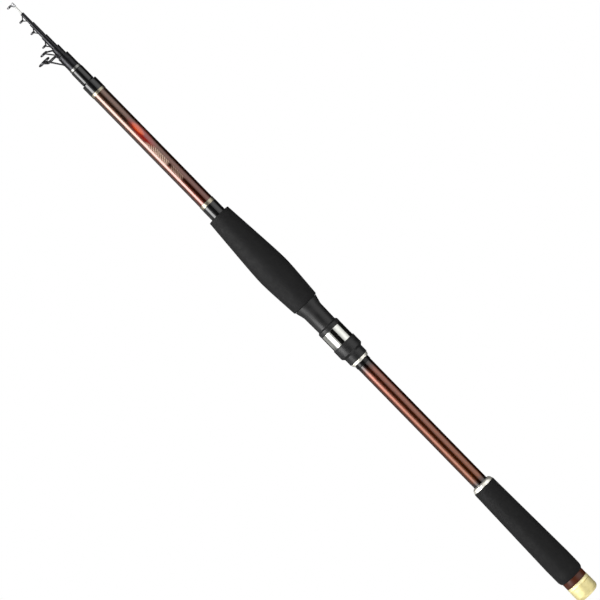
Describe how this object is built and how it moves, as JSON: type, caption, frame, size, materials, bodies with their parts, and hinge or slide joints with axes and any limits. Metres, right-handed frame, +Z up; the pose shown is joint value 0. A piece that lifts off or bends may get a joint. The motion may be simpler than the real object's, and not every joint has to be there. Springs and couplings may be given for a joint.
{
  "type": "telescopic fishing rod",
  "caption": "Telescopic fishing rod with foam grips, a screw-down reel seat, nested tube sections with line guides, and a screwed butt cap.",
  "frame": {"origin": "centre of the flat end of the butt cap, on the rod's axis", "axes": "+X along the rod from the butt to the tip, +Y towards the line guides and the reel, +Z up with the rod lying on its side"},
  "size_m": [0.8293, 0.0427, 0.0354],
  "materials": {
    "brown_lacquer": "glossy red-brown lacquer over a composite tube",
    "foam": "matte closed-cell foam, finely ground",
    "gold_metal": "polished, pale gold anodised",
    "black_wrap": "thread wrap under clear resin",
    "black_plastic": "moulded, soft sheen",
    "bright_metal": "polished",
    "spring_steel": "plain spring steel",
    "white_plastic": "moulded",
    "seal_rubber": "moulded rubber",
    "black_blank": "glossy black composite tube",
    "white_blank": "glossy white solid glass fibre",
    "guide_metal": "dark plated wire",
    "guide_ceramic": "polished dark ceramic"
  },
  "bodies": {
    "butt": {"butt_blank": "brown_lacquer", "butt_ferrule": "brown_lacquer", "rear_grip": "foam", "rear_grip_check": "gold_metal", "seat_wrap": "black_wrap", "seat_check": "gold_metal", "seat_tube": "black_plastic", "rear_hood": "black_plastic", "hood_sleeve": "bright_metal", "fore_wrap": "black_wrap", "fore_trim": "gold_metal", "mouth_trim": "gold_metal", "mouth_wrap": "black_wrap"},
    "hood": {"moving_hood": "black_plastic", "hood_snap_ring": "spring_steel", "thrust_washer": "white_plastic"},
    "foregrip": {"foregrip": "foam", "grip_nut": "black_plastic", "foregrip_bush": "black_plastic"},
    "seal": {"cap_seal": "seal_rubber"},
    "cap": {"butt_cap": "gold_metal", "cap_cushion": "seal_rubber"},
    "section_1": {"section_1": "black_blank", "stop_collar": "black_wrap", "stop_trim": "gold_metal", "guide_1_frame": "guide_metal", "guide_1_ring": "guide_ceramic"},
    "section_2": {"section_2": "black_blank", "guide_2_frame": "guide_metal", "guide_2_ring": "guide_ceramic"},
    "section_3": {"section_3": "black_blank", "guide_3_frame": "guide_metal", "guide_3_ring": "guide_ceramic"},
    "section_4": {"section_4": "black_blank", "guide_4_frame": "guide_metal", "guide_4_ring": "guide_ceramic"},
    "section_5": {"section_5": "black_blank", "guide_5_frame": "guide_metal", "guide_5_ring": "guide_ceramic"},
    "tip": {"tip_section": "white_blank", "tip_top": "bright_metal", "tip_top_ring": "guide_ceramic"}
  },
  "joints": [
    {"name": "section_1_slide", "type": "slide", "parent": "butt", "child": "section_1", "axis": [1, 0, 0], "range_m": [0, 0.5641]},
    {"name": "section_2_slide", "type": "slide", "parent": "section_1", "child": "section_2", "axis": [1, 0, 0], "range_m": [0, 0.6146]},
    {"name": "section_3_slide", "type": "slide", "parent": "section_2", "child": "section_3", "axis": [1, 0, 0], "range_m": [0, 0.6391]},
    {"name": "section_4_slide", "type": "slide", "parent": "section_3", "child": "section_4", "axis": [1, 0, 0], "range_m": [0, 0.6676]},
    {"name": "section_5_slide", "type": "slide", "parent": "section_4", "child": "section_5", "axis": [1, 0, 0], "range_m": [0, 0.6986]},
    {"name": "tip_slide", "type": "slide", "parent": "section_5", "child": "tip", "axis": [1, 0, 0], "range_m": [0, 0.7256]},
    {"name": "hood_slide", "type": "slide", "parent": "butt", "child": "hood", "axis": [1, 0, 0], "range_m": [0, 0.06]},
    {"name": "foregrip_turn", "type": "hinge", "parent": "hood", "child": "foregrip", "pos_m": [0.45, 0, 0], "axis": [1, 0, 0], "range_deg": [0, 4449.6]},
    {"name": "seal_slide", "type": "slide", "parent": "butt", "child": "seal", "axis": [-1, 0, 0], "range_m": [0, 0.02]},
    {"name": "cap_turn", "type": "hinge", "parent": "seal", "child": "cap", "pos_m": [0.01, 0, 0], "axis": [-1, 0, 0], "range_deg": [0, 3708]}
  ],
  "couplings": [
    {"joint": "foregrip_turn", "follows": "hood_slide", "rad_per_m": 1256.6},
    {"joint": "cap_turn", "follows": "seal_slide", "rad_per_m": 3141.6}
  ]
}
